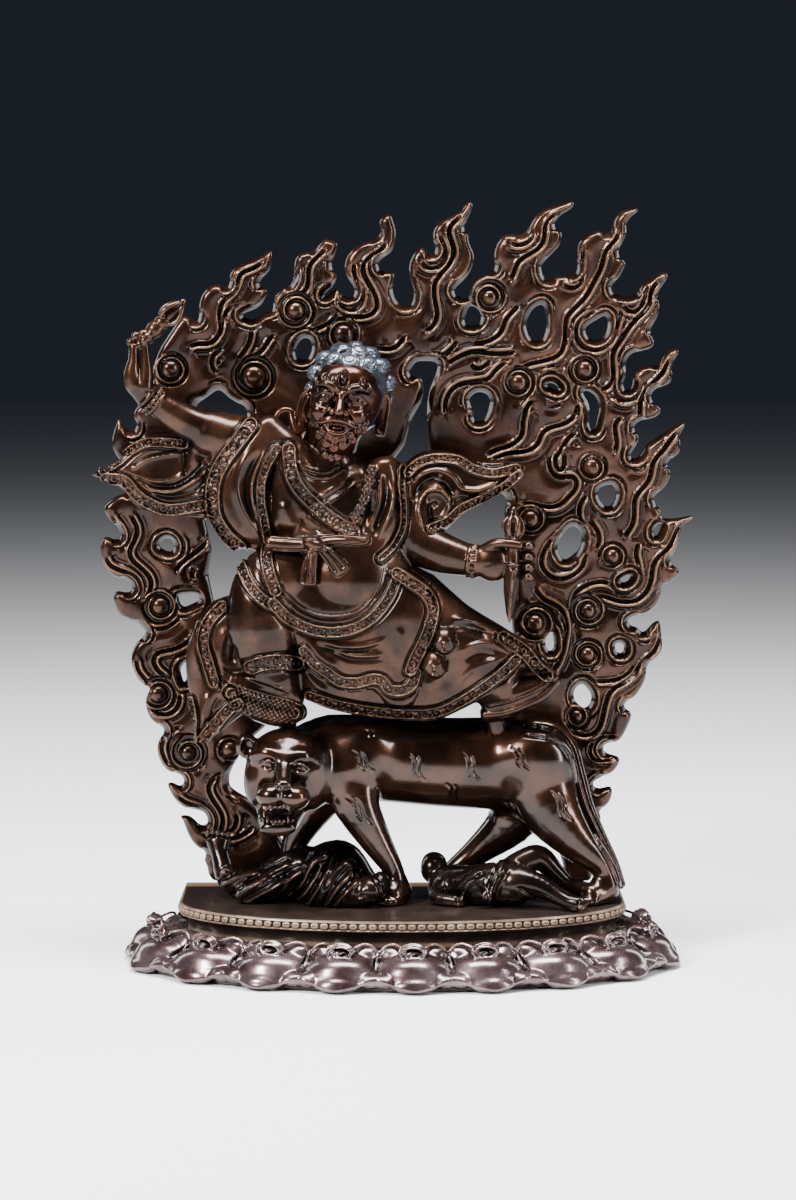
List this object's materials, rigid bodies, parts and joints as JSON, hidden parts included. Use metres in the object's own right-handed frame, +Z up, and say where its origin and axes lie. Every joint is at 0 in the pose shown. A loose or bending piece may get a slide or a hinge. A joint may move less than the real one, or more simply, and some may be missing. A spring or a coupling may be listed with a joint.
{
  "type": "bronze protector deity statue",
  "caption": "Dark bronze group: a wrathful robed protector strides on a tigress over fallen figures, before a horseshoe of flames, on a lotus plinth.",
  "frame": {"origin": "centre of the plinth's flat underside, below the middle of its width", "axes": "+Z up, the front faces -Y, +X to the viewer's right"},
  "size_m": [0.227, 0.1072, 0.2865],
  "materials": {
    "plinth_bronze": "satin",
    "tigress_bronze": "satin",
    "fallen_bronze": "satin",
    "protector_bronze": "satin",
    "flame_bronze": "satin"
  },
  "bodies": {
    "root": {"lotus_plinth": "plinth_bronze", "tigress": "tigress_bronze", "fallen_figure_left": "fallen_bronze", "fallen_figure_right": "fallen_bronze", "protector": "protector_bronze", "flame_aureole": "flame_bronze"}
  },
  "joints": []
}
